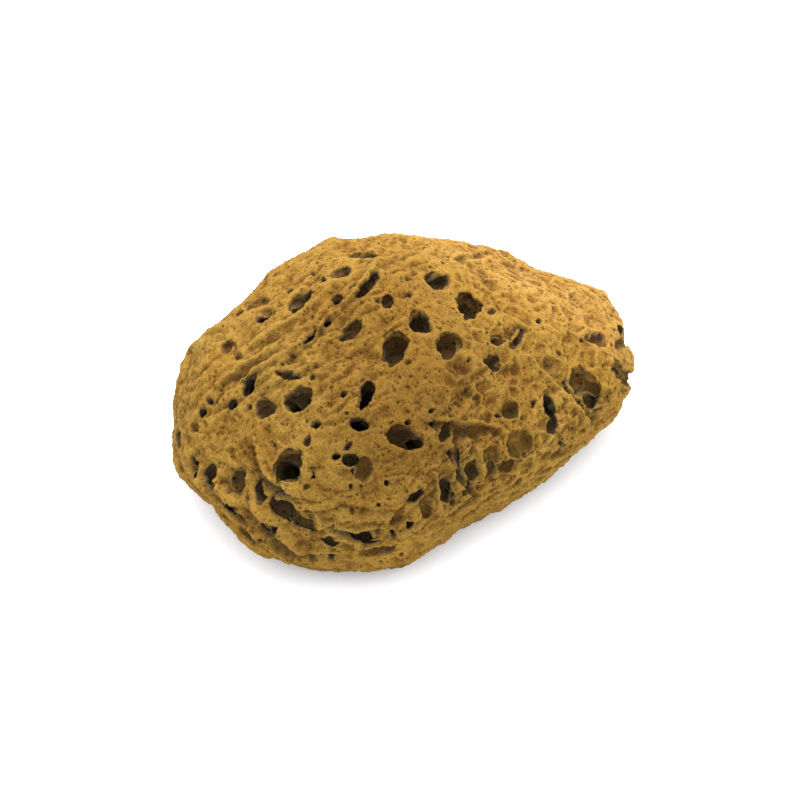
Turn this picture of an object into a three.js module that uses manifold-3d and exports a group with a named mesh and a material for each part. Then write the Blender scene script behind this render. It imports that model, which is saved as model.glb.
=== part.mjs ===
// Natural sea sponge, cut flat from the rock that it grew on.
// It is one solid: a lopsided dome with a broad end, a tapering ragged tip and many wide water pores.
// Millimetres, +Z up. The sponge rests on its cut at z = 0, and +X runs along it to the tip.
import * as THREE from "three";
import { mergeVertices } from "three/addons/utils/BufferGeometryUtils.js";
import Module from "manifold-3d";

// Body: the rim radii run round from the tip, one every 20 degrees.
const RIM_RADII = [82, 86.5, 74.5, 67, 67, 62.5, 63, 67, 76, 76, 74, 73, 65, 57, 48.5, 47, 54, 64];
const RIM_HEIGHT = 20; // level of the widest outline
const CROWN_HEIGHT = 71; // top of the dome
const TIP_HEIGHT = 45; // top of the body at the tip
const TIP_START = -20; // where along X the dome starts to fall towards the tip
const HEEL_HEIGHT = 60; // top of the body at the broad end
const HEEL_START = -30; // where along X the dome starts to fall towards the broad end
const KEEL_DEPTH = 27; // how far the rounded underside would reach below the rim if it weren't cut
const CROWN_FULLNESS = 2.5; // 2 is an ellipse, higher is boxier
const BODY_DETAIL = 8; // splits on each edge of the icosahedron that the body starts from

// Broad swells of the skin: wave direction, wave length and height.
const SWELLS = [
  { along: [1, 0.4, 0.2], length: 47, height: 1 },
  { along: [-0.5, 1, 0.3], length: 38, height: 1 },
  { along: [0.3, -0.6, 1], length: 29, height: 0.8 },
  { along: [0.9, 0.8, -0.5], length: 21, height: 0.6 },
];

// The pores of the upper face are set out on a drawing plane that faces the long side and leans back.
const PLANE_TURN = THREE.MathUtils.degToRad(-16); // about +Z
const PLANE_RISE = THREE.MathUtils.degToRad(47); // of its normal above the table
const PLANE_CENTRE = new THREE.Vector3(0, 0, 28);

// Each pore: across and up on the drawing plane, length, width, turn of its length in degrees, depth.
const CROWN_PORES = [
  [-36, -21.3, 10, 9.4, 20, 8],
  [-38, -22.3, 6.5, 7, 0, 15],
  [-1.7, 17, 9.4, 8.2, 78, 9],
  [-3, 13.5, 5, 3.5, 10, 14],
  [6.7, 25.3, 8.4, 7, -30, 8],
  [5, 25.5, 4.5, 4, 0, 14],
  [23, 31.3, 8.4, 7.4, -70, 9],
  [23.3, 28, 5, 3.6, 30, 14],
  [16, 18, 8.6, 8, 60, 7.5],
  [-32.7, 0, 9, 7, 25, 7],
  [-35, -1.3, 4, 4, 0, 12],
  [-44, -3.3, 7.6, 5, 15, 5],
  [-11, 1.7, 9.6, 4, 68, 15],
  [-13.3, -7.7, 5.6, 3.6, -28, 14],
  [1.5, -12.3, 11.5, 7, -12, 7],
  [6, -13.7, 4.5, 4, 0, 10],
  [12.7, 39.7, 9, 5.6, 35, 6],
  [-4, 32, 5, 4.2, 40, 4],
  [30.7, 12, 5.6, 4.6, 20, 5],
];
const BACK_SLOPE_PORES = [
  [-32.7, 32.3, 9, 5.6, 42, 7],
  [-44.3, 28, 6.5, 3, 35, 6],
  [-47, 32, 7, 4, 15, 2.5],
  [-57, 17, 4.5, 3.8, 10, 2],
  [-12.3, 47.3, 10.5, 4.8, 12, 5],
  [-19.7, 42, 7.5, 3.6, 14, 4],
  [-10.3, 37.7, 11, 3.2, 57, 5],
  [-20.7, 33, 3.2, 2.6, 60, 4],
  [-23.7, 25.3, 3.2, 2.8, 60, 5],
  [-16, 22.3, 8.5, 4, 52, 3.5],
  [-29.3, 20.7, 7, 2.4, 55, 3],
  [-49.3, 5.3, 8, 3.4, 52, 8],
  [-54.7, -1.7, 4.2, 3, 28, 5],
  [-64.7, -4.3, 2.8, 2.6, 0, 4],
  [-36.7, 8, 8, 3, -15, 3],
  [-27.3, -8, 3.8, 2.6, 35, 3.5],
];
const FRONT_PORES = [
  [-28, -24.3, 3, 2.7, -40, 5],
  [-16, -19.5, 5.5, 3.4, 10, 5],
  [-11.5, -23, 8, 4.6, 80, 3.2],
  [14.5, -11, 5.6, 4.8, 70, 3.2],
  [17.5, -19, 6.5, 3, -70, 3.5],
  [15.3, -30, 7.6, 4, -65, 5.5],
  [5.6, -31, 6, 3.4, 40, 5],
  [8.5, -35.5, 8, 4.6, -55, 3],
  [3.3, -40.3, 2.6, 2.4, 70, 3.5],
  [24, -23, 6, 5, 75, 4.2],
  [29.5, -22.5, 5, 3.6, 85, 2.2],
  [22, -29.5, 3.4, 2.6, -80, 3],
  [35, -21.8, 5.5, 3.4, 5, 2.5],
  [40, -15, 11.5, 9, 20, 2.6],
  [36.7, -3, 6.2, 4.8, 0, 4.5],
];
const TIP_PORES = [
  [61.5, 5, 13, 8.5, -52, 4.5],
  [63, -0.5, 5.5, 4.5, -20, 7],
  [72.5, 10.5, 6, 4.4, -50, 4],
  [65.5, 20, 6.4, 5.6, 20, 3],
  [49.3, -1.3, 8.6, 3, -62, 7],
  [50.5, -9, 6, 3, 85, 3],
  [39, 20.3, 9, 1.4, 58, 4.5],
  [32.3, 19.3, 5, 2.8, 10, 2.5],
];
const RIM_PORES = [
  [-62, -26, 8, 5, 85, 3.5],
  [-53, -26.7, 8, 5.4, 80, 4],
  [-66.7, -22.7, 8, 2.8, -70, 2.5],
  [-73.3, -13, 7.5, 2.8, -75, 2.5],
  [-45.7, -30.5, 6, 3.8, 75, 4],
  [-38, -35.5, 9, 5, -20, 4],
  [-29, -40.5, 14, 6, -42, 2.5],
  [-42, -41, 9, 4.5, -42, 2.5],
  [-56.5, -33.5, 8, 3, -36, 2],
  [-50, -44.5, 10, 2.6, -36, 1.8],
  [-22.5, -46.3, 5, 4, -60, 3.5],
  [-12, -44.7, 6, 3.6, -15, 4],
  [-8.3, -50, 13, 4, 12, 2.2],
];

// Pores of the sides that the drawing plane doesn't show, spread evenly in a spiral.
const FAR_SPIRAL = 70; // points of the whole spiral
const FAR_LENGTHS = [8.5, 4.5, 6, 3.6, 7, 5]; // taken in turn
const FAR_WIDTH_SHARE = 0.72;
const FAR_DEPTH_SHARE = 0.85;
const FAR_FACING = 0.1; // a point that faces the drawing plane more than this is left alone

// Notches that make the tip ragged: height up the drawing plane, width and depth.
const TIP_NOTCHES = [
  [25.8, 3, 4.5],
  [20, 4.5, 3],
  [7, 6, 3],
];
const NOTCH_RUN = 30; // length of a notch over the edge
const EDGE_REACH = 40; // how far in front of and behind the drawing plane the edge is looked for
const EDGE_TRIALS = 17;

// A pore's form: share of its half width, then height as a share of its depth below the skin,
// or of its half width above it.
const PORE_WALL = [
  [0, -1],
  [0.66, -0.86],
  [0.94, -0.35],
];
const PORE_MOUTH = [
  [1.06, 0.12],
  [1.2, 0.8],
  [0, 0.8],
];
const PLUMB_SHARE = 0.4; // how much a pore leans from square to the skin towards straight down
const OVAL_WOBBLE = 0.1; // how far a mouth departs from an oval
const LEAST_FACING = 0.5; // limits how far a mouth is stretched on a steep slope
const MOUTH_GROWTH = 1.08; // makes up for what the rounded lip takes from a drawn mouth
const FAR = 300; // beyond the sponge in any direction

const wasm = await Module();
wasm.setup();

// Periodic Catmull-Rom curve through the rim radii.
function rimRadius(angle) {
  const count = RIM_RADII.length;
  const place = ((angle / (2 * Math.PI)) * count + count) % count;
  const first = Math.floor(place);
  const t = place - first;
  const [a, b, c, d] = [-1, 0, 1, 2].map((k) => RIM_RADII[(first + k + count) % count]);
  return b + 0.5 * t * (c - a + t * (2 * a - 5 * b + 4 * c - d + t * (3 * (b - c) + d - a)));
}

function swell(point) {
  return SWELLS.reduce((sum, { along, length, height }, i) => {
    const phase = (2 * Math.PI * point.dot(new THREE.Vector3(...along).normalize())) / length;
    return sum + height * Math.sin(phase + 2 * i);
  }, 0);
}

// The dome without its pores: each point of a ball is moved out to the rim, the crown or the keel.
function bodyGeometry() {
  const geometry = new THREE.IcosahedronGeometry(1, BODY_DETAIL);
  const points = geometry.attributes.position;
  const p = new THREE.Vector3();
  for (let i = 0; i < points.count; i += 1) {
    p.fromBufferAttribute(points, i).normalize();
    const angle = Math.atan2(p.y, p.x);
    const out = rimRadius(angle) * Math.hypot(p.x, p.y) ** (2 / CROWN_FULLNESS);
    const x = out * Math.cos(angle);
    const tipShare = THREE.MathUtils.smoothstep(x, TIP_START, RIM_RADII[0]);
    const heelShare = THREE.MathUtils.smoothstep(-x, -HEEL_START, RIM_RADII[9]);
    const fall = tipShare * (CROWN_HEIGHT - TIP_HEIGHT) + heelShare * (CROWN_HEIGHT - HEEL_HEIGHT);
    const crown = CROWN_HEIGHT - fall - RIM_HEIGHT;
    const rise = p.z > 0 ? crown * p.z ** (2 / CROWN_FULLNESS) : KEEL_DEPTH * p.z;
    const placed = new THREE.Vector3(x, out * Math.sin(angle), RIM_HEIGHT + rise);
    placed.addScaledVector(p, swell(placed));
    points.setXYZ(i, placed.x, placed.y, placed.z);
  }
  return geometry;
}

function toSolid(geometry) {
  const bare = geometry.clone();
  bare.deleteAttribute("normal");
  bare.deleteAttribute("uv");
  const merged = mergeVertices(bare, 1e-4);
  return new wasm.Manifold(
    new wasm.Mesh({
      numProp: 3,
      vertProperties: new Float32Array(merged.attributes.position.array),
      triVerts: new Uint32Array(merged.index.array),
    }),
  );
}

function toGeometry(solid) {
  const mesh = solid.getMesh();
  const geometry = new THREE.BufferGeometry();
  geometry.setAttribute("position", new THREE.BufferAttribute(mesh.vertProperties, 3));
  geometry.setIndex(new THREE.BufferAttribute(mesh.triVerts, 1));
  geometry.computeVertexNormals();
  return geometry;
}

// Where a line from outside first meets the skin, and the skin's direction there.
function meetSkin(skin, from, towards) {
  const [hit] = new THREE.Raycaster(from, towards.clone().normalize()).intersectObject(skin);
  return hit && { point: hit.point, normal: hit.face.normal.clone() };
}

// A blind, slightly lopsided plug that is as long, wide and deep as the pore, with its mouth at z = 0.
function plugGeometry(length, width, depth, wobble) {
  const sides = length > 7 ? 9 : length > 4 ? 7 : 6;
  const wall = PORE_WALL.map(([r, h]) => new THREE.Vector2(r, h * depth));
  const mouth = PORE_MOUTH.map(([r, h]) => new THREE.Vector2(r, (h * width) / 2));
  const plug = new THREE.LatheGeometry([...wall, ...mouth], sides).rotateX(Math.PI / 2);
  const points = plug.attributes.position;
  for (let i = 0; i < points.count; i += 1) {
    const angle = Math.atan2(points.getY(i), points.getX(i));
    const grow = 1 + OVAL_WOBBLE * (Math.sin(2 * angle + wobble) + Math.sin(3 * angle + 2 * wobble));
    points.setX(i, (points.getX(i) * grow * length) / 2);
    points.setY(i, (points.getY(i) * grow * width) / 2);
  }
  return plug;
}

// Stretches a mouth down the slope, so that it keeps its drawn outline where the skin leans away.
function slopeStretch(out) {
  const facing = out.dot(planeNormal);
  const { x, y, z } = planeNormal.clone().addScaledVector(out, -facing).normalize();
  const more = 1 / Math.max(facing, LEAST_FACING) - 1;
  const rows = [
    [1 + more * x * x, more * x * y, more * x * z, 0],
    [more * x * y, 1 + more * y * y, more * y * z, 0],
    [more * x * z, more * y * z, 1 + more * z * z, 0],
    [0, 0, 0, 1],
  ];
  return new THREE.Matrix4().set(...rows.flat());
}

// The plug set into the skin at a meeting point, with its length along a direction.
function boredPlug({ point, normal }, along, size, wobble, stretched = false) {
  const [length, width, depth] = size;
  const out = normal.clone().add(new THREE.Vector3(0, 0, PLUMB_SHARE)).normalize();
  const across = new THREE.Vector3().crossVectors(out, along).normalize();
  const lengthwise = new THREE.Vector3().crossVectors(across, out);
  const place = new THREE.Matrix4().makeBasis(lengthwise, across, out);
  if (stretched) place.premultiply(slopeStretch(out));
  return toSolid(plugGeometry(length, width, depth, wobble).applyMatrix4(place.setPosition(point)));
}

const planeAcross = new THREE.Vector3(Math.cos(PLANE_TURN), Math.sin(PLANE_TURN), 0);
const planeNormal = new THREE.Vector3(Math.sin(PLANE_TURN), -Math.cos(PLANE_TURN), 0)
  .multiplyScalar(Math.cos(PLANE_RISE))
  .setZ(Math.sin(PLANE_RISE));
const planeUp = new THREE.Vector3().crossVectors(planeNormal, planeAcross);

function onPlane(across, up, out) {
  return PLANE_CENTRE.clone()
    .addScaledVector(planeAcross, across)
    .addScaledVector(planeUp, up)
    .addScaledVector(planeNormal, out);
}

function drawnPlugs(skin) {
  const rows = [...CROWN_PORES, ...BACK_SLOPE_PORES, ...FRONT_PORES, ...TIP_PORES, ...RIM_PORES];
  return rows.map(([across, up, length, width, turn, depth], i) => {
    const met = meetSkin(skin, onPlane(across, up, FAR), planeNormal.clone().negate());
    const along = planeAcross.clone().applyAxisAngle(planeNormal, THREE.MathUtils.degToRad(turn));
    return boredPlug(met, along, [length * MOUTH_GROWTH, width * MOUTH_GROWTH, depth], i, true);
  });
}

function farPlugs(skin) {
  const golden = Math.PI * (3 - Math.sqrt(5));
  const plugs = [];
  for (let i = 0; i < FAR_SPIRAL; i += 1) {
    const level = 1 - (2 * i + 1) / FAR_SPIRAL;
    const away = new THREE.Vector3().setFromSphericalCoords(1, Math.acos(level), golden * i);
    const met = meetSkin(skin, PLANE_CENTRE.clone().addScaledVector(away, FAR), away.clone().negate());
    if (met.normal.dot(planeNormal) > FAR_FACING) continue;
    const length = FAR_LENGTHS[i % FAR_LENGTHS.length];
    const along = new THREE.Vector3(Math.cos(i), Math.sin(i), Math.sin(2 * i));
    plugs.push(boredPlug(met, along, [length, length * FAR_WIDTH_SHARE, length * FAR_DEPTH_SHARE], i));
  }
  return plugs;
}

// The outermost point of the tip at a height up the drawing plane.
function tipEdge(skin, up) {
  const inward = planeAcross.clone().negate();
  const share = (i) => (2 * i) / (EDGE_TRIALS - 1) - 1;
  const levels = Array.from({ length: EDGE_TRIALS }, (_, i) => EDGE_REACH * share(i));
  return levels
    .map((out) => meetSkin(skin, onPlane(FAR, up, out), inward))
    .filter(Boolean)
    .reduce((best, met) => (met.point.dot(planeAcross) > best.point.dot(planeAcross) ? met : best));
}

function tipNotches(skin) {
  return TIP_NOTCHES.map(([up, width, depth], i) =>
    boredPlug(tipEdge(skin, up), planeNormal, [NOTCH_RUN, width, depth], i),
  );
}

function spongeGeometry() {
  const skin = new THREE.Mesh(bodyGeometry());
  const rock = new THREE.BoxGeometry(FAR, FAR, FAR).translate(0, 0, -FAR / 2);
  const cuts = [toSolid(rock), ...drawnPlugs(skin), ...farPlugs(skin), ...tipNotches(skin)];
  const geometry = toGeometry(cuts.reduce((body, cut) => body.subtract(cut), toSolid(skin.geometry)));
  geometry.computeBoundingBox();
  const middle = geometry.boundingBox.getCenter(new THREE.Vector3());
  return geometry.translate(-middle.x, -middle.y, 0);
}

const ochre = new THREE.MeshStandardMaterial({ color: 0xb98a3c, roughness: 0.95, metalness: 0 });
const sponge = new THREE.Mesh(spongeGeometry(), ochre);
sponge.name = "sponge";

const seaSponge = new THREE.Group();
seaSponge.add(sponge);

export default seaSponge;
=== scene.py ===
# %% [markdown]
# # A natural sea sponge
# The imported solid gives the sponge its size, its wide pores and its flat cut.
# This lesson turns a copy of it into a dry, felted skeleton with ropes, ledges, small pores and colour.
# The noise gets a fixed seed first, so that every run grows the same sponge.

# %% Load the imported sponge
import math

import bmesh
import bpy
import numpy as np
from mathutils import Matrix, Vector, noise
from mathutils.bvhtree import BVHTree


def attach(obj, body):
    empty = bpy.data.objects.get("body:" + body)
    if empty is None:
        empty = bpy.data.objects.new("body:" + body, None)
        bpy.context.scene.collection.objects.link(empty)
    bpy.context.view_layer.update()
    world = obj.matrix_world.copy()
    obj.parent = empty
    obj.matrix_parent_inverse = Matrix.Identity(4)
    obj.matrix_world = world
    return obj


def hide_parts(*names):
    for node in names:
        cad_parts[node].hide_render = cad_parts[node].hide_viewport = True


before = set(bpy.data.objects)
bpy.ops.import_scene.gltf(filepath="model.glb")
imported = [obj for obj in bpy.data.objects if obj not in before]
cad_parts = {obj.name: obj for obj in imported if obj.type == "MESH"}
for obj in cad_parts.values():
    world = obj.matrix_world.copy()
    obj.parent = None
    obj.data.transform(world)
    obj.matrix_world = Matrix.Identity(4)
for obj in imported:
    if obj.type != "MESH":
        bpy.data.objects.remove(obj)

MM = 0.001
SEED = 5
noise.seed_set(SEED)
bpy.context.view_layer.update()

# %% [markdown]
# The photo was taken from well back with a long lens, about 47 degrees above the table.
# Three directions say all of that: across the picture, up the picture and towards the camera.
# They are kept, because small features further down are placed with them too.

# %% Camera
AIM = Vector((-3.14, -2.58, 28)) * MM
TURN = math.radians(-16)
RISE = math.radians(47)
DISTANCE = 2.6
PICTURE_WIDTH = 800 / 3 * MM

across = Vector((math.cos(TURN), math.sin(TURN), 0))
towards = Vector((math.sin(TURN), -math.cos(TURN), 0)) * math.cos(RISE)
towards.z = math.sin(RISE)
upward = towards.cross(across)

camera = bpy.data.objects.new("camera", bpy.data.cameras.new("camera"))
camera.data.lens = camera.data.sensor_width * DISTANCE / PICTURE_WIDTH
camera.data.clip_end = 50
facing_us = Matrix((across, upward, towards)).transposed().to_4x4()
camera.matrix_world = Matrix.Translation(AIM + DISTANCE * towards) @ facing_us
bpy.context.scene.collection.objects.link(camera)
bpy.context.scene.camera = camera
print("lens", round(camera.data.lens), "mm")

# %% [markdown]
# White paper, one soft box above and behind, and a white room all round give the photo's shadow:
# grey close under the sponge and gone a finger's width away.
# A harder lamp would draw an edge on the paper.
# The standard view keeps white paper white, where the default one would grey it.

# %% Floor and lights
ROOM_STRENGTH = 2.4
BOX_PLACE = (0.25, 0.6, 1.2)
BOX_SIZE = 0.8
BOX_POWER = 52

bpy.context.scene.view_settings.view_transform = "Standard"

world = bpy.data.worlds.new("white room")
bpy.context.scene.world = world
world.use_nodes = True
world.node_tree.nodes["Background"].inputs["Color"].default_value = (0.93, 0.96, 1, 1)
world.node_tree.nodes["Background"].inputs["Strength"].default_value = ROOM_STRENGTH


def soft_box(name, place, size, power):
    light = bpy.data.objects.new(name, bpy.data.lights.new(name, "AREA"))
    light.data.size = size
    light.data.energy = power
    light.location = place
    light.rotation_euler = (-Vector(place)).to_track_quat("-Z", "Y").to_euler()
    bpy.context.scene.collection.objects.link(light)


soft_box("back box", BOX_PLACE, BOX_SIZE, BOX_POWER)

paper = bmesh.new()
bmesh.ops.create_grid(paper, x_segments=1, y_segments=1, size=8)
floor_mesh = bpy.data.meshes.new("floor")
paper.to_mesh(floor_mesh)
floor = bpy.data.objects.new("floor", floor_mesh)
bpy.context.scene.collection.objects.link(floor)
print("paper and", len(bpy.data.lights), "soft box")


# %% [markdown]
# Finishes are built from shader nodes.
# One small helper adds a node and fills or links its inputs, so each finish reads as a short recipe.
# The paper is nearly white, with the faint mottle of its fibres.

# %% Helper for finishes and the floor's paper
def add_node(finish, kind, inputs=None, **settings):
    made = finish.node_tree.nodes.new("ShaderNode" + kind)
    for name, value in settings.items():
        setattr(made, name, value)
    for name, value in (inputs or {}).items():
        if isinstance(value, bpy.types.NodeSocket):
            finish.node_tree.links.new(value, made.inputs[name])
        else:
            made.inputs[name].default_value = value
    return made


def new_finish(name):
    finish = bpy.data.materials.new(name)
    finish.use_nodes = True
    return finish, finish.node_tree.nodes["Principled BSDF"]


paper_finish, paper_shader = new_finish("pale paper")
place = add_node(paper_finish, "TexCoord").outputs["Object"]
mottle = add_node(paper_finish, "TexNoise", {"Vector": place, "Scale": 30}).outputs["Fac"]
tone = add_node(paper_finish, "ValToRGB", {"Fac": mottle})
tone.color_ramp.elements[0].color = (0.9, 0.9, 0.9, 1)
tone.color_ramp.elements[1].color = (0.92, 0.92, 0.92, 1)
paper_finish.node_tree.links.new(tone.outputs["Color"], paper_shader.inputs["Base Color"])
paper_shader.inputs["Roughness"].default_value = 0.9
floor.data.materials.append(paper_finish)
print("paper finish", len(paper_finish.node_tree.nodes), "nodes")

# %% [markdown]
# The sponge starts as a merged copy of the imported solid, so its pores are where the solid has them.
# A voxel remesh gives it an even skin, fine enough to be pushed about point by point like clay.

# %% Even skin
VOXEL = 0.45 * MM
EVENING = 3


def finish_modifier(piece, kind, **settings):
    modifier = piece.modifiers.new(kind.lower(), kind)
    for name, value in settings.items():
        setattr(modifier, name, value)
    bpy.context.view_layer.objects.active = piece
    bpy.ops.object.modifier_apply(modifier=modifier.name)


skin = bmesh.new()
skin.from_mesh(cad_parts["sponge"].data)
bmesh.ops.remove_doubles(skin, verts=skin.verts, dist=1e-6)
sponge_mesh = bpy.data.meshes.new("sea_sponge")
skin.to_mesh(sponge_mesh)
sponge = bpy.data.objects.new("sea_sponge", sponge_mesh)
bpy.context.scene.collection.objects.link(sponge)
finish_modifier(sponge, "REMESH", mode="VOXEL", voxel_size=VOXEL)
finish_modifier(sponge, "SMOOTH", factor=0.5, iterations=EVENING)
print("even skin", len(sponge.data.vertices), "points")


# %% [markdown]
# Every point of the skin is read into one array, in millimetres, with the direction that it faces.

# %% Points of the skin
def read_points(piece):
    count = len(piece.data.vertices)
    points = np.empty(count * 3, np.float32)
    facing = np.empty(count * 3, np.float32)
    piece.data.vertices.foreach_get("co", points)
    piece.data.vertex_normals.foreach_get("vector", facing)
    return points.reshape(-1, 3).astype(float) / MM, facing.reshape(-1, 3).astype(float)


def write_points(piece, points):
    piece.data.vertices.foreach_set("co", (points * MM).astype(np.float32).ravel())
    piece.data.update()


def ease(low, high, value):
    share = np.clip((value - low) / (high - low), 0, 1)
    return share * share * (3 - 2 * share)


points, facing = read_points(sponge)
print("skin from", points.min(axis=0).round(1), "to", points.max(axis=0).round(1), "mm")

# %% [markdown]
# Pushing the skin along its own directions would fold it over at the sharp lips of the pores.
# A smoothed copy has no sharp lips, so its directions are the safer ones to push along.

# %% Directions of a smoothed copy
LIP_SMOOTHINGS = 15


def smoothed_copy(piece, times):
    copy = bmesh.new()
    copy.from_mesh(piece.data)
    for _ in range(times):
        bmesh.ops.smooth_vert(
            copy, verts=copy.verts, factor=0.5, use_axis_x=True, use_axis_y=True, use_axis_z=True
        )
    copy.normal_update()
    places = np.array([v.co for v in copy.verts]) / MM
    directions = np.array([v.normal for v in copy.verts])
    copy.free()
    return places, directions


_, even_facing = smoothed_copy(sponge, LIP_SMOOTHINGS)
least_match = np.clip((facing * even_facing).sum(axis=1).min(), -1, 1)
print("turned most at a lip by", np.degrees(np.arccos(least_match)).round(), "degrees")

# %% [markdown]
# The walls of wide pores are smoother than the open skin, because they grew sheltered.
# A tight wrapping around the sponge tells where they are: they lie well below it.

# %% Sheltered walls
SHELTER = (3.5, 6)

wrapping = bmesh.new()
wrapping.from_mesh(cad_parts["sponge"].data)
bmesh.ops.delete(wrapping, geom=wrapping.edges, context="EDGES_FACES")
bmesh.ops.convex_hull(wrapping, input=wrapping.verts)
wrapping_tree = BVHTree.FromBMesh(wrapping)
below = np.array([wrapping_tree.find_nearest(Vector(p) * MM)[3] for p in points]) / MM
wrapping.free()
sheltered = ease(*SHELTER, below)
print("sheltered share of the skin", sheltered.mean().round(2))
print("deepest point below the wrapping", below.max().round(1), "mm")

# %% [markdown]
# Seen from the camera, single features can be told apart: small pits and shallow bowls.
# Each is one row: across and up the picture in mm, length, width, turn in degrees, and depth.
# The numbers were read off the photo.
# A feature fades out where the skin turns away from the camera.
# A wobble keeps it from being a clean oval.

# %% Small features of the seen side
PITS = [
    (-36, 35.7, 2.6, 2.4, 0, 3.5),
    (-25.3, 39.3, 2.2, 2, 0, 3.5),
    (3, 34, 3, 2, 0, 1.5),
    (2.7, 39.3, 2.3, 1.4, 0, 1.8),
    (45.7, 26, 1.9, 1.9, 0, 2.5),
    (30, 29, 3, 2, 0, 1.5),
    (-62.3, -0.3, 2.4, 2.4, 0, 2.5),
    (2.7, -7.3, 2.2, 2, 0, 3),
    (10, -3.7, 1.9, 1.8, 0, 3),
    (10.7, -7.7, 2.2, 2, 0, 1.8),
    (-20.7, -18.3, 2.4, 2.2, 0, 3.5),
    (-16.7, -15, 3.3, 2, 40, 1.8),
    (-4.3, -27, 2.2, 1.9, -40, 3.5),
    (-15.7, -28.3, 2, 2, 0, 1.8),
    (-30.3, -28.3, 2.7, 2, 0, 1.2),
    (-7, -34, 1.4, 1.4, 0, 2),
    (-18.3, 2, 2.7, 1.7, 60, 3.5),
    (-1.7, -45, 3.3, 1.7, -60, 3),
    (-22.3, -51.3, 3, 2, 80, 2.5),
    (-28.7, -51.7, 2.4, 1.8, 80, 2),
    (53.3, -15, 2.2, 2, 0, 1.8),
    (32.3, -5.3, 2.2, 1.5, 0, 1.8),
    (44.3, -1.3, 3, 1.7, 80, 2.2),
    (60, 19.7, 1.6, 1.6, 0, 2.2),
    (-52.7, 14, 3, 2, 10, 1.2),
    (0.3, -50.3, 2, 1.5, 0, 1.8),
    (-67.3, -9.3, 4, 2.7, 80, 1.4),
]
BOWLS = [
    (21, -11, 13, 7, -5, 1.6),
    (27.5, 39.5, 17, 8, -46, 1.2),
    (42, 32.5, 18, 7, -15, 1.0),
    (37.3, 22.3, 10, 6, 15, 1.6),
    (19.3, 10.8, 10, 7, -20, 1.6),
    (20.3, 1.3, 9, 7.5, 45, 1.8),
    (63, 2, 15, 10, -50, 2),
    (40, -16, 13, 10, 20, 1.4),
    (-48, 33, 9, 4, 30, 1.6),
    (-56, 18, 7, 4, 40, 1.2),
    (-43, 19, 12, 3.5, 38, 1.2),
    (-35, 13, 12, 3, 40, 1.3),
    (-28, 20, 14, 3, 42, 1.2),
    (-52, 8, 10, 3.5, 40, 1.2),
]

SEEN_FACING = (0.1, 0.3)
WOBBLE_SIZE = 2.4
PIT_FLOOR = 0.6
BOWL_FLOOR = 0.2


def picture_place(points):
    from_aim = points - np.array(AIM) / MM
    return from_aim @ np.array(across), from_aim @ np.array(upward)


def seen_share(facing):
    return ease(*SEEN_FACING, facing @ np.array(towards))


picture_x, picture_y = picture_place(points)
seen = seen_share(facing)
wobble = np.array([noise.noise(Vector(p) / WOBBLE_SIZE) for p in points])


def feature_share(row, floor_edge):
    x, y, length, width, turn, _ = row
    turn = math.radians(turn)
    along = (picture_x - x) * math.cos(turn) + (picture_y - y) * math.sin(turn)
    aside = (picture_y - y) * math.cos(turn) - (picture_x - x) * math.sin(turn)
    reach = np.hypot(along / length, aside / width) * 2 + 0.25 * wobble
    return seen * ease(1.05, floor_edge, reach)


hollow = sum(row[5] * feature_share(row, PIT_FLOOR) for row in PITS)
hollow = hollow + sum(row[5] * feature_share(row, BOWL_FLOOR) for row in BOWLS)
print("pits and bowls", len(PITS) + len(BOWLS), "deepest", round(float(hollow.max()), 1), "mm")

# %% [markdown]
# Ledges are the sponge's boldest small forms: a sheet of felt ends, and the skin drops behind its edge.
# Each row has a depth and a width in mm, and a line over the picture with the drop on its right hand.
# The edge itself curls up a little, as a torn sheet does.

# %% Ledges of the seen side
LEDGES = [
    (2.4, 7, [(-46.7, -17.5), (-45.4, -22.5), (-43.3, -25.8), (-36.7, -30)]),
    (2.4, 9, [
        (-36.1, -32.7), (-31.7, -37.5), (-23.9, -40.8), (-16.2, -43.2),
        (-11.7, -42.8), (-4.5, -42.2), (-3, -40),
    ]),
    (2.0, 5, [(-47.3, -34.3), (-42.2, -41.6), (-36.7, -46.7), (-31, -49.5)]),
    (1.8, 4, [(-59.7, -25.2), (-58.7, -31.3), (-53.5, -36.5), (-49.4, -41), (-44.3, -45.7)]),
    (2.2, 8, [(60.8, -4.1), (56.9, 0.8), (53, 4.2), (48.7, 8.7)]),
    (0.9, 2.5, [(19.3, 47.8), (28.7, 49.5)]),
    (1.9, 7, [(13.2, -7.2), (19.3, -7.4), (27.6, -8.6)]),
    (2.4, 5, [(22, -29.8), (18.2, -25.3), (17.7, -21.5), (17, -14.9)]),
]


def signed_gap(line):
    nearest = np.full(len(points), 1e9)
    signed = np.full(len(points), 1e9)
    for (x0, y0), (x1, y1) in zip(line, line[1:]):
        run = math.hypot(x1 - x0, y1 - y0)
        east = (x1 - x0) / run
        north = (y1 - y0) / run
        along = np.clip((picture_x - x0) * east + (picture_y - y0) * north, 0, run)
        gap = np.hypot(picture_x - x0 - along * east, picture_y - y0 - along * north)
        right_hand = (picture_x - x0) * north - (picture_y - y0) * east
        signed = np.where(gap < nearest, np.copysign(gap, right_hand), signed)
        nearest = np.minimum(gap, nearest)
    return signed


def ledge_drop(depth, width, line):
    gap = signed_gap(line) + 0.5 * wobble
    drop = ease(-0.3, 0.6, gap) * (1 - ease(0.1 * width, width, gap))
    curl = 0.3 * ease(-2.5, -0.3, gap) * (1 - ease(-0.3, 0.2, gap))
    return seen * depth * (drop - curl)


for depth, width, line in LEDGES:
    hollow += ledge_drop(depth, width, line)
print("ledges", len(LEDGES), "deepest", round(float(hollow.max()), 1), "mm")

# %% [markdown]
# Between the ledges lie ropes and tongues of felt, which stand proud of the skin and end in a torn tip.
# They are lines too, each with its height and width, and a ragged crest where the noise eats into it.

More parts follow.
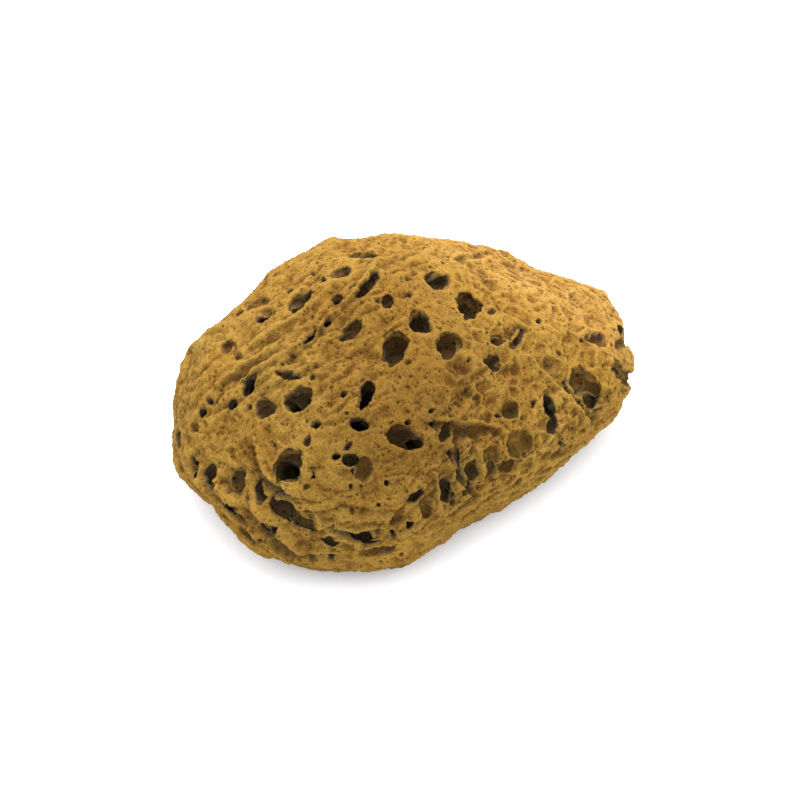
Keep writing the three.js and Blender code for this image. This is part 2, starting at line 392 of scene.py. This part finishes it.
# %% Ropes and tongues of the seen side
TONGUES = [
    (2.9, 5, [
        (-60, -27.5), (-55, -32.5), (-48.3, -34.2),
        (-43.3, -37.5), (-36.7, -45), (-31.7, -49.2),
    ]),
    (2.6, 4.5, [(-26.7, -40), (-21.7, -44.2), (-13.3, -47)]),
    (2.0, 3.5, [(-65.8, -24.2), (-59.2, -32.5), (-52.5, -40), (-44.2, -46.7), (-36.7, -51.7)]),
    (1.6, 3, [(-70, -14), (-66, -22), (-62.5, -30)]),
    (1.0, 2.5, [(13.3, 10), (19, 6), (25, 10), (36.7, 11.7)]),
    (1.0, 2.5, [(69, 13.3), (75, 6.7)]),
    (1.7, 3, [(-47, 26), (-38, 31), (-29, 40)]),
    (1.6, 3, [(-52, 15), (-42, 22), (-33, 27), (-22, 37)]),
    (1.5, 3, [(-48, 9), (-38, 15), (-27, 23), (-19, 30)]),
    (1.5, 3, [(-60, 5), (-50, 12), (-42, 16)]),
    (1.5, 2.6, [(-19, 30), (-12, 39), (-7, 46)]),
    (1.4, 2.4, [(26, -16), (27, -22), (26.5, -27)]),
    (1.4, 2.4, [(32, -13), (32.5, -19), (31.5, -25)]),
    (1.4, 2.4, [(11.5, -24), (12, -31), (13, -37)]),
]


def tongue_rise(height, width, line):
    gap = np.abs(signed_gap(line)) + 0.7 * wobble
    return seen * height * ease(0.5 * width, 0, gap)


for height, width, line in TONGUES:
    hollow -= tongue_rise(height, width, line)
print("tongues", len(TONGUES), "highest", round(float(-hollow.min()), 1), "mm")

# %% [markdown]
# All round, the skeleton grew in ropes that run level with the rock.
# Small pores are scattered between them.
# A level rope is noise that is stretched sideways and squeezed in height.
# A pore is a ball around a scattered point: where the skin passes through the ball, it is pushed in.
# Low on the sides the pores meet, and only thin walls are left standing between them.
# A sculpting brush would do this too, but noise covers the hidden sides in the same style.

# %% Forms that grow all round
def scatter(seed):
    return math.sin(seed.x * 127.1 + seed.y * 311.7 + seed.z * 74.7) * 43758.5 % 1


def step_up(low, high, value):
    share = min(1, max(0, (value - low) / (high - low)))
    return share * share * (3 - 2 * share)


def pore_depth(point, spacing, smallest, widest, steep):
    gaps, seeds = noise.voronoi(point / spacing)
    radius = smallest + (widest - smallest) * scatter(seeds[0]) ** 3
    return steep * radius * step_up(0, 0.45, 1 - gaps[0] * spacing / radius)


def cell_depth(point):
    gaps, seeds = noise.voronoi(Vector((point.x / 7, point.y / 7, point.z / 5)))
    return step_up(0.04, 0.3, gaps[1] - gaps[0]) * (0.3 + scatter(seeds[0]))


def ropes(point, length, height):
    level = Vector((point.x / length, point.y / length, point.z / height))
    return 0.3 - abs(noise.noise(level)) - 0.45 * abs(noise.noise(level * 2.1))


print("deepest groove as a share of its height", round(ropes(Vector((0, 0, 0)), 15, 4.4), 2))

# %% [markdown]
# The forms are added up to one depth for each point.
# Each line below is one form: first its height in mm, then the size of its noise in mm.
# On the upper left of the picture the ropes slant, so there the noise is turned before it is stretched.

# %% Depth of the grown relief
STRAND_TURN = math.radians(37)
slant = Matrix((
    across * math.cos(STRAND_TURN) + upward * math.sin(STRAND_TURN),
    towards,
    upward * math.cos(STRAND_TURN) - across * math.sin(STRAND_TURN),
))


def natural_depth(point, flank, strand, facet):
    bent = point + 1.5 * noise.noise_vector(point / 8)
    lumps = 0.7 * noise.fractal(point / 9, 1, 2, 3)
    net = (0.5 + 0.5 * noise.noise(point / 12)) * (abs(noise.noise(bent / 2.7)) - 0.2)
    grooves = (0.6 + 1.2 * flank) * (1 - strand) * ropes(bent, 15, 4.4)
    wrinkles = 0.4 * flank * ropes(bent, 9, 1.7)
    slanting = 1.8 * strand * ropes(slant @ bent, 13, 3.6)
    cells = (0.2 * flank + 0.6 * facet) * cell_depth(bent)
    pores = pore_depth(bent, 6, 0.4, 1.7, 1.3)
    pinholes = pore_depth(point, 2.1, 0.25, 0.8, 1.1) * step_up(-0.2, 0.3, noise.noise(point / 7))
    felt = 0.22 * noise.noise(point / 0.9)
    return lumps + net + grooves + wrinkles + slanting + cells + pores + pinholes + felt


strands = seen * ease(2, -14, picture_x - 0.3 * picture_y) * ease(-16, 0, picture_y)
facets = seen * ease(8, 26, picture_x)
flanks = 1 - ease(0.3, 0.85, facing[:, 2])
kinds = zip(points, flanks, strands, facets)
grown = np.array([natural_depth(Vector(p), *shares) for p, *shares in kinds])
print("grown relief", grown.min().round(2), "to", grown.max().round(2), "mm")

# %% [markdown]
# Now the skin is pushed in by its depth: less so on sheltered walls, and leaning downwards on the crown.
# Each point is also shifted along the skin, which tears the round mouths of the pores.
# The whole is grown by a hair first, because the relief takes more away than it adds.

# %% Push the skin
GROWTH = 1.009
SHELTER_CALM = 0.85
PLUMB_LEAN = 0.4
TEARS = ((0.55, 3), (0.2, 1.3))
TEAR_FLATNESS = 0.75

hollow = (hollow + grown) * (1 - SHELTER_CALM * sheltered)
inward = -even_facing - np.outer(PLUMB_LEAN * (1 - flanks), (0, 0, 1))
inward /= np.linalg.norm(inward, axis=1)[:, None]
ragged = sum(
    np.array([shift * noise.noise_vector(Vector(p) / size) for p in points]) for shift, size in TEARS
)
ragged -= TEAR_FLATNESS * even_facing * (ragged * even_facing).sum(axis=1)[:, None]
points = points * GROWTH + ragged + inward * hollow[:, None]
points[:, 2] = np.maximum(points[:, 2], 0)
write_points(sponge, points)
print("depth of the whole relief", hollow.min().round(2), "to", hollow.max().round(2), "mm")

# %% [markdown]
# The even skin has more points than it needs on the flat cut and in smooth hollows.
# Collapsing short edges there brings it under a set number of triangles.

# %% Lighter mesh
MOST_TRIANGLES = 195000


def count_triangles(piece):
    return sum(len(face.vertices) - 2 for face in piece.data.polygons)


triangles = count_triangles(sponge)
finish_modifier(sponge, "DECIMATE", ratio=MOST_TRIANGLES / triangles)
print("triangles", triangles, "made", count_triangles(sponge))

# %% [markdown]
# Pushing can pinch a crumb off the skin, and collapsing can dip an edge below the cut.
# Everything that doesn't hang together with the body is deleted, and the cut is set flat again.

# %% No loose crumbs
whole = bmesh.new()
whole.from_mesh(sponge.data)
top_point = max(whole.verts, key=lambda v: v.co.z)
reached = {top_point}
waiting = [top_point]
while waiting:
    here = waiting.pop()
    for edge in here.link_edges:
        there = edge.other_vert(here)
        if there not in reached:
            reached.add(there)
            waiting.append(there)
crumbs = [v for v in whole.verts if v not in reached]
bmesh.ops.delete(whole, geom=crumbs, context="VERTS")
for v in whole.verts:
    v.co.z = max(v.co.z, 0)
whole.to_mesh(sponge.data)
whole.free()
sponge.data.polygons.foreach_set("use_smooth", np.ones(len(sponge.data.polygons), bool))
print("points of crumbs deleted", len(crumbs))

# %% [markdown]
# The sponge gets painted shade where little sky reaches it: the finish darkens its colour, most deep in the
# hollows.
# Rays sent out from each point tell how much sky it has.
# The share is kept on the mesh as an attribute, so that the finish can read it from any side.

# %% How open each point is
RAYS = 24
NEAR = 9 * MM
LIFT = 0.05 * MM
GRAZING = 0.05


def sky_rays(count):
    golden = math.pi * (3 - math.sqrt(5))
    rays = []
    for i in range(count):
        z = 1 - (2 * i + 1) / count
        flat = math.sqrt(1 - z * z)
        rays.append(Vector((math.cos(i * golden) * flat, math.sin(i * golden) * flat, z)))
    return rays


def openness(tree, point, normal, rays):
    start = point + LIFT * normal
    free = 0
    total = 1e-6
    for ray in rays:
        weight = ray.dot(normal)
        if weight < GRAZING:
            continue
        total += weight
        if tree.ray_cast(start, ray, NEAR)[0] is None:
            free += weight
    return free / total


closed = bmesh.new()
closed.from_mesh(sponge.data)
tree = BVHTree.FromBMesh(closed)
rays = sky_rays(RAYS)
sky = [openness(tree, v.co, v.normal, rays) for v in closed.verts]
closed.free()
sponge.data.attributes.new("sky", "FLOAT", "POINT").data.foreach_set("value", sky)
print("sky from", round(min(sky), 2), "to", round(max(sky), 2))

# %% [markdown]
# Ridges get a painted highlight and the grooves between them painted shade.
# How far a point stands above a smoothed copy of the skin tells the one from the other.
# The middle of the upper face gets painted shade, browner, and a band along its far edge gets a pale
# painted highlight, as if lit from behind.

# %% Ridges, grooves and painted light
SMOOTHINGS = 20
SHADE_MIDDLE = (0, 3)
SHADE_CORE = 12
SHADE_EDGE = 58
HIGHLIGHT_BAND = (42, 54)
points, facing = read_points(sponge)
smooth_points, _ = smoothed_copy(sponge, SMOOTHINGS)
# The crest height drives painted highlights on ridges and painted shade in grooves.
crest = ((points - smooth_points) * facing).sum(axis=1)

picture_x, picture_y = picture_place(points)
from_middle = np.hypot(picture_x - SHADE_MIDDLE[0], picture_y - SHADE_MIDDLE[1])
# Painted shade on the middle of the upper face, and a painted highlight along its far edge.
middle_shade = seen_share(facing) * ease(SHADE_EDGE, SHADE_CORE, from_middle)
edge_highlight = ease(*HIGHLIGHT_BAND, 0.5 * picture_x + 0.87 * picture_y)

shares = {"crest": np.clip(0.5 + crest, 0, 1), "painted_light": 0.5 + 0.5 * middle_shade - 0.5 * edge_highlight}
for name, values in shares.items():
    sponge.data.attributes.new(name, "FLOAT", "POINT").data.foreach_set("value", values)
print("crest from", crest.min().round(2), "to", crest.max().round(2), "mm")

# %% [markdown]
# Dry spongin is ochre. Painted light is laid on it: painted shade browns the middle of the upper face and
# blackens deep pores, and a painted highlight turns the far edge straw yellow.
# A ramp turns a share into a colour, and multiplying ramps lays one effect over another.
# Two helpers do that, so the finish can be read as a list of effects.

# %% Helpers for colour
def colour_ramp(finish, share, *stops):
    made = add_node(finish, "ValToRGB", {"Fac": share})
    ramp = made.color_ramp
    while len(ramp.elements) < len(stops):
        ramp.elements.new(0.5)
    for element, (position, colour) in zip(ramp.elements, stops):
        element.position = position
        element.color = (*colour, 1)
    return made.outputs["Color"]


def multiply(finish, share, first, second):
    colours = {"Fac": share, "Color1": first, "Color2": second}
    return add_node(finish, "MixRGB", colours, blend_type="MULTIPLY").outputs["Color"]


spongin, shader = new_finish("spongin")
print("started", spongin.name)

# %% [markdown]
# Three shares come from the mesh: sky and crest, which drive painted shade and highlights, and the painted
# light of the upper face.
# The rest is noise in Object coordinates: broad patches, fine grain, and ragged dots for the pinholes,
# which paint shade into them and give their bump.

# %% Shares that drive the finish
place = add_node(spongin, "TexCoord").outputs["Object"]
sky_shade_share = add_node(spongin, "Attribute", attribute_name="sky").outputs["Fac"]
crest_shading_share = add_node(spongin, "Attribute", attribute_name="crest").outputs["Fac"]
painted_light_share = add_node(spongin, "Attribute", attribute_name="painted_light").outputs["Fac"]
patches = add_node(spongin, "TexNoise", {"Vector": place, "Scale": 38, "Detail": 3}).outputs["Fac"]
grain = add_node(spongin, "TexNoise", {"Vector": place, "Scale": 1900, "Detail": 3}).outputs["Fac"]
bend = add_node(spongin, "TexNoise", {"Vector": place, "Scale": 700}).outputs["Color"]
ragged_place = add_node(
    spongin, "MixRGB", {"Fac": 0.0012, "Color1": place, "Color2": bend}, blend_type="ADD"
).outputs["Color"]
dots = add_node(spongin, "TexVoronoi", {"Vector": ragged_place, "Scale": 420}).outputs["Distance"]
print("shares", len(spongin.node_tree.nodes), "nodes so far")

# %% [markdown]
# The sky share gives the main colour: bare ochre where the skin is open, and painted shade down to near
# black deep in a pore.
# Painted light on the upper face, patches, painted crest highlights and groove shade, grain, and painted
# shade in the pinholes each multiply it: below one darkens, above one bleaches.

# %% Spongin colour
# Painted shade: the less sky reaches a point, the darker its colour.
colour = colour_ramp(
    spongin, sky_shade_share,
    (0.02, (0.009, 0.007, 0.005)),
    (0.12, (0.034, 0.028, 0.019)),
    (0.3, (0.058, 0.043, 0.023)),
    (0.55, (0.078, 0.048, 0.016)),
    (0.85, (0.101, 0.055, 0.0103)),
    (1.0, (0.129, 0.071, 0.013)),
)
for share, stops in (
    # Painted light: shade browns the middle of the upper face, and a highlight bleaches its far edge.
    (painted_light_share, ((0, (1.4, 1.42, 1.8)), (0.5, (1.1, 1.1, 1.1)), (1, (0.73, 0.68, 0.65)))),
    (patches, ((0.35, (0.93, 0.86, 0.76)), (0.65, (1.02, 1.03, 1.02)))),
    # Painted highlight on ridges and painted shade in grooves.
    (crest_shading_share, ((0.1, (0.7, 0.62, 0.54)), (0.5, (1, 1, 1)), (0.85, (1.2, 1.26, 1.3)))),
    (grain, ((0.3, (0.62, 0.58, 0.53)), (0.7, (1.34, 1.36, 1.4)))),
    # Painted shade: each pinhole dot darkens the colour where its tiny hole would lie in shade.
    (dots, ((0.1, (0.4, 0.35, 0.3)), (0.32, (1, 1, 1)))),
):
    colour = multiply(spongin, 1.0, colour, colour_ramp(spongin, share, *stops))
spongin.node_tree.links.new(colour, shader.inputs["Base Color"])
print("colour", len(spongin.node_tree.nodes), "nodes so far")

# %% [markdown]
# Fibre ends and pinholes are finer than the mesh, so two bumps stand for them.
# Dry felt has almost no gloss: it is rough, and its specular level is close to none.

# %% Fuzz and pinholes
GRAIN_HEIGHT = 0.3 * MM
PRICK_DEPTH = 0.6 * MM
fuzz = add_node(spongin, "Bump", {"Height": grain, "Strength": 0.5, "Distance": GRAIN_HEIGHT})
pricks = add_node(
    spongin, "Bump",
    {"Height": dots, "Normal": fuzz.outputs["Normal"], "Strength": 0.5, "Distance": PRICK_DEPTH},
)
spongin.node_tree.links.new(pricks.outputs["Normal"], shader.inputs["Normal"])
shader.inputs["Roughness"].default_value = 0.95
shader.inputs["Specular IOR Level"].default_value = 0.03
sponge.data.materials.clear()
sponge.data.materials.append(spongin)
print("spongin", len(spongin.node_tree.nodes), "nodes")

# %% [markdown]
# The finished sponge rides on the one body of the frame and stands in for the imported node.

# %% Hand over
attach(sponge, "root")
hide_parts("sponge")
